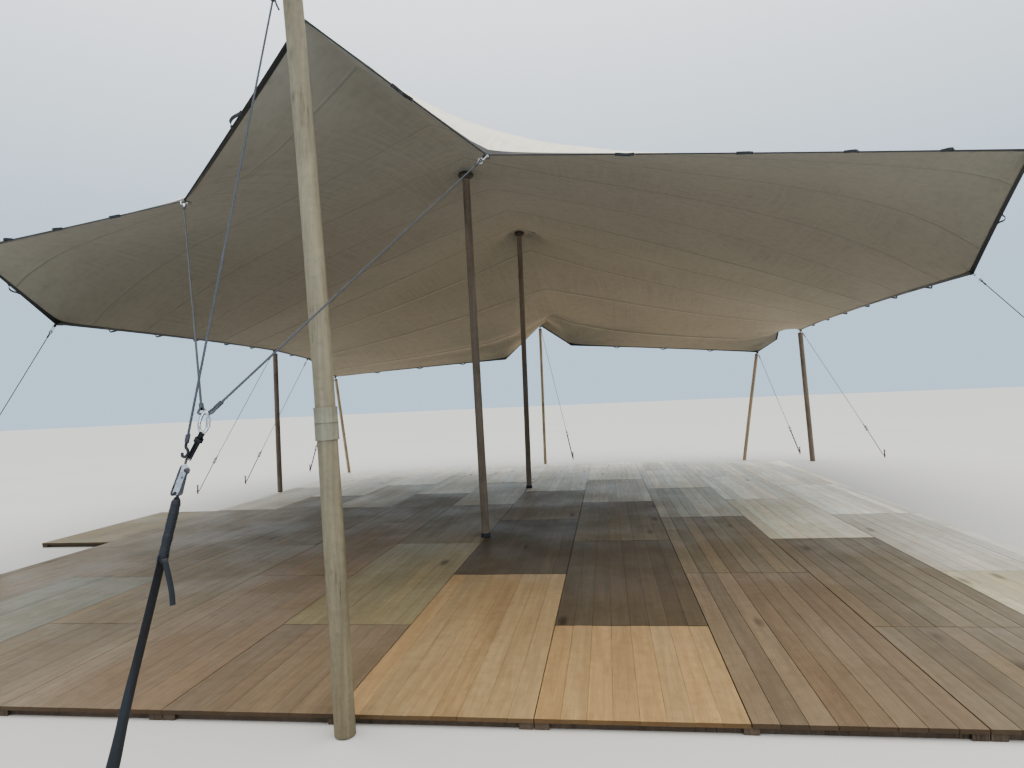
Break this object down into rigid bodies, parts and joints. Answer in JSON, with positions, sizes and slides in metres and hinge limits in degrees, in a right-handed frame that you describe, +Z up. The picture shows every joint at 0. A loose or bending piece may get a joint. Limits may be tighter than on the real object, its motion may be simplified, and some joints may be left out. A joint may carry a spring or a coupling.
{
  "type": "stretch tent",
  "caption": "Stretch tent: one tensioned fabric canopy over round timber poles, guyed to ground stakes, standing on a sectional timber deck.",
  "frame": {"origin": "on the ridge line, on the underside of the deck bearer there, level with the ground, about halfway between the front pole and the back pole", "axes": "+Z up, +Y from the front of the tent to its back, +X to the right seen from the front"},
  "size_m": [13.948, 15.363, 4.474],
  "materials": {
    "stretch_fabric": "matt woven stretch fabric, warm tan under and cream above",
    "edge_webbing": "near-black woven webbing",
    "pale_wood": "peeled round pole, pale and dry",
    "brown_wood": "round pole, brown and weathered",
    "steel": "zinc plated",
    "black_strap": "black woven strap",
    "guy_rope": "thin grey braided rope",
    "deck_boards": "planed softwood boards, trodden",
    "deck_pale": "fresh pale boards"
  },
  "bodies": {
    "root": {"canopy": "stretch_fabric", "edge_webbing_front": "edge_webbing", "edge_webbing_back": "edge_webbing", "edge_webbing_left": "edge_webbing", "edge_webbing_right": "edge_webbing", "ridge_pole_front": "brown_wood", "ridge_pole_front_cap": "edge_webbing", "ridge_pole_middle": "brown_wood", "ridge_pole_middle_cap": "edge_webbing", "left_front_pole": "brown_wood", "left_middle_pole": "brown_wood", "left_back_pole": "pale_wood", "back_pole": "pale_wood", "right_back_pole": "pale_wood", "right_middle_pole": "brown_wood", "right_front_pole": "brown_wood", "front_pole": "pale_wood", "front_pole_collar": "guy_rope", "front_corner_tie": "guy_rope", "front_carabiner": "steel", "front_stake": "steel", "front_ratchet": "steel", "front_strap_sleeve": "black_strap", "front_strap": "black_strap", "front_rope_left": "guy_rope", "front_rope_right": "guy_rope", "front_rope_pole": "brown_wood", "front_strap_upper": "black_strap", "left_front_stake": "steel", "left_front_guy": "guy_rope", "left_rope_stake": "steel", "left_rope_guy": "guy_rope", "left_middle_stake": "steel", "left_middle_guy": "guy_rope", "left_notch_stake": "steel", "left_notch_guy": "guy_rope", "left_back_stake": "steel", "left_back_guy": "guy_rope", "back_stake": "steel", "back_guy": "guy_rope", "right_back_stake": "steel", "right_back_guy": "guy_rope", "right_middle_stake": "steel", "right_middle_guy": "guy_rope", "right_rope_stake": "steel", "right_rope_guy": "guy_rope", "right_front_stake": "steel", "right_front_guy": "guy_rope", "deck_section_1": "deck_boards", "deck_section_2": "deck_boards", "deck_section_3": "deck_boards", "deck_section_4": "deck_boards", "deck_section_5": "deck_boards", "deck_side_panel": "deck_pale"}
  },
  "joints": []
}
